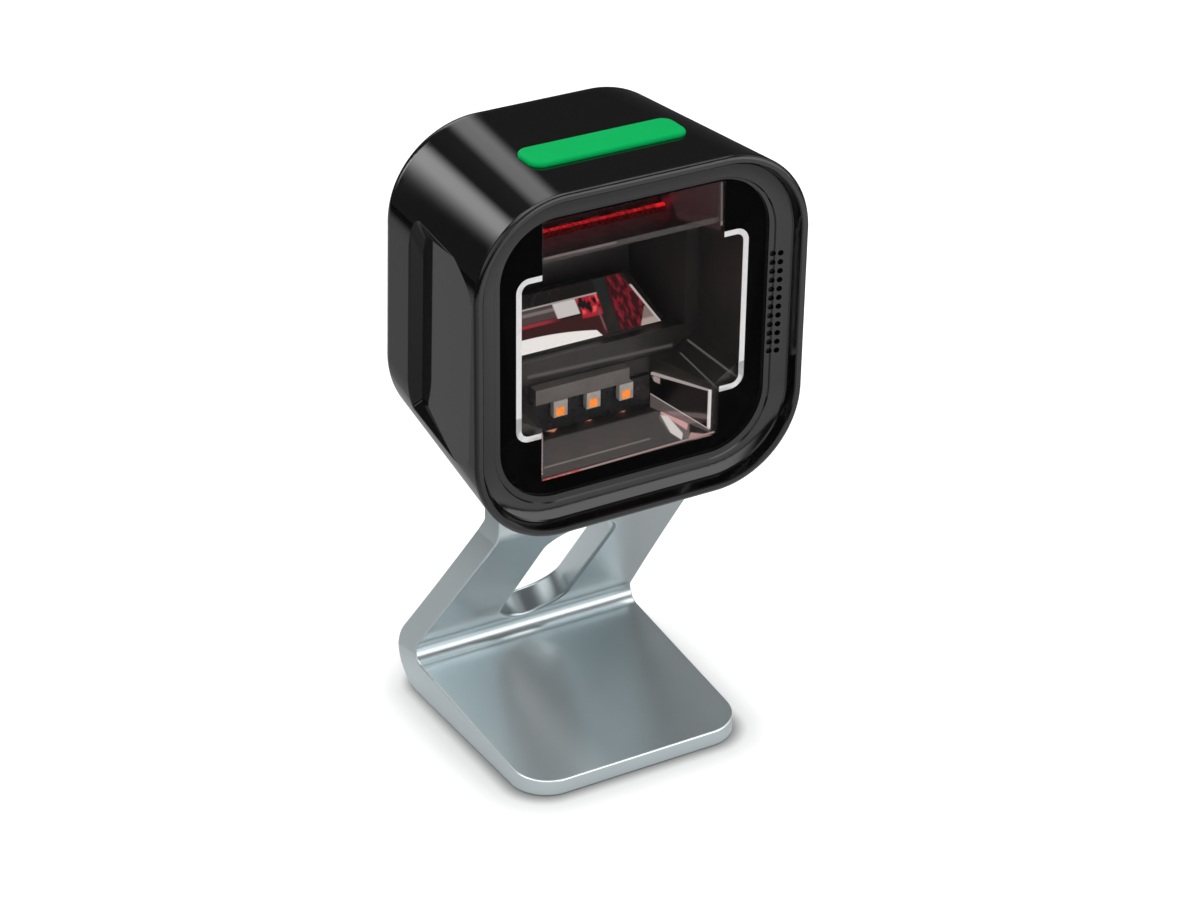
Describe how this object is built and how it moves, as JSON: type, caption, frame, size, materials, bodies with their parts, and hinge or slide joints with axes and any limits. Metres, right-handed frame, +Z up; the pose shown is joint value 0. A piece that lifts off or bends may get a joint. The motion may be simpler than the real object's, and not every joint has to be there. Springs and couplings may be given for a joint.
{
  "type": "barcode scanner",
  "caption": "Compact hands-free presentation barcode scanner: square glossy head with a recessed window and top button bar, tilting on a bent cast riser stand.",
  "frame": {"origin": "on the table at the middle of the stand's footprint", "axes": "+Z up, the window faces -Y, +X to the right of someone facing the window from outside"},
  "size_m": [0.0818, 0.066, 0.1499],
  "materials": {
    "cast_satin": "bead-blasted satin casting",
    "rubber_black": "matte",
    "nylon": "matte",
    "housing_gloss": "high gloss black",
    "bezel_gloss": "high gloss black",
    "window_glass": "clear, polished",
    "mask_black": "printed black",
    "mark_white": "printed light grey",
    "button_green": "satin translucent",
    "component_dark": "matte",
    "circuit_board": "solder mask",
    "lamp_green": "clear lens",
    "chassis_black": "fine matte",
    "screw_steel": "plated",
    "mirror_silver": "front-surface mirror",
    "lamp_package": "moulded",
    "lamp_amber": "clear amber resin",
    "hood_grey": "matte",
    "lamp_red": "clear red resin",
    "diffuser_clear": "frosted",
    "lens_glass": "coated",
    "shield_steel": "tin plated",
    "connector_pale": "moulded",
    "contact_brass": "gold flash",
    "mesh_cloth": "fine black mesh",
    "bracket_steel": "zinc plated",
    "cover_matte": "fine texture black",
    "label_silver": "blank foil label"
  },
  "bodies": {
    "stand": {"stand_casting": "cast_satin", "foot_pad": "rubber_black", "hinge_bushings": "nylon"},
    "head": {"housing_shell": "housing_gloss", "front_bezel": "bezel_gloss", "window_pane": "window_glass", "mask_film": "mask_black", "frame_marks": "mark_white", "tactile_switch": "component_dark", "indicator_board": "circuit_board", "indicator_leds": "lamp_green", "optical_chassis": "chassis_black", "chassis_screws": "screw_steel", "fold_mirror": "mirror_silver", "mirror_carrier": "chassis_black", "side_reflectors": "mirror_silver", "lower_lamp_board": "circuit_board", "lower_lamps": "lamp_package", "lower_lamp_lenses": "lamp_amber", "lamp_hood": "hood_grey", "upper_lamp_board": "circuit_board", "upper_lamps": "lamp_red", "upper_diffuser": "diffuser_clear", "camera_board": "circuit_board", "image_sensor": "component_dark", "lens_holder": "chassis_black", "lens_barrel": "chassis_black", "lens_glass": "lens_glass", "main_board": "circuit_board", "main_board_screws": "screw_steel", "processor_shield": "shield_steel", "memory_chips": "component_dark", "board_connectors": "connector_pale", "port_board": "circuit_board", "host_port": "component_dark", "port_contacts": "contact_brass", "grille_mesh": "mesh_cloth", "speaker": "component_dark", "tilt_bracket": "bracket_steel", "bracket_screws": "screw_steel", "tilt_pin": "bracket_steel", "friction_washers": "nylon", "spring_washer": "bracket_steel", "tilt_nut": "bracket_steel", "rear_cover": "cover_matte", "cover_screws": "screw_steel", "blank_label": "label_silver"},
    "button": {"button_bar": "button_green", "switch_plunger": "nylon"}
  },
  "joints": [
    {"name": "head_tilt", "type": "hinge", "parent": "stand", "child": "head", "pos_m": [0, -0.00913, 0.0705], "axis": [1, 0, 0], "range_deg": [-25, 15]},
    {"name": "button_press", "type": "slide", "parent": "head", "child": "button", "axis": [0, 0.0258, -0.9997], "range_m": [0, 0.0005], "stiffness_N_per_m": 200}
  ]
}
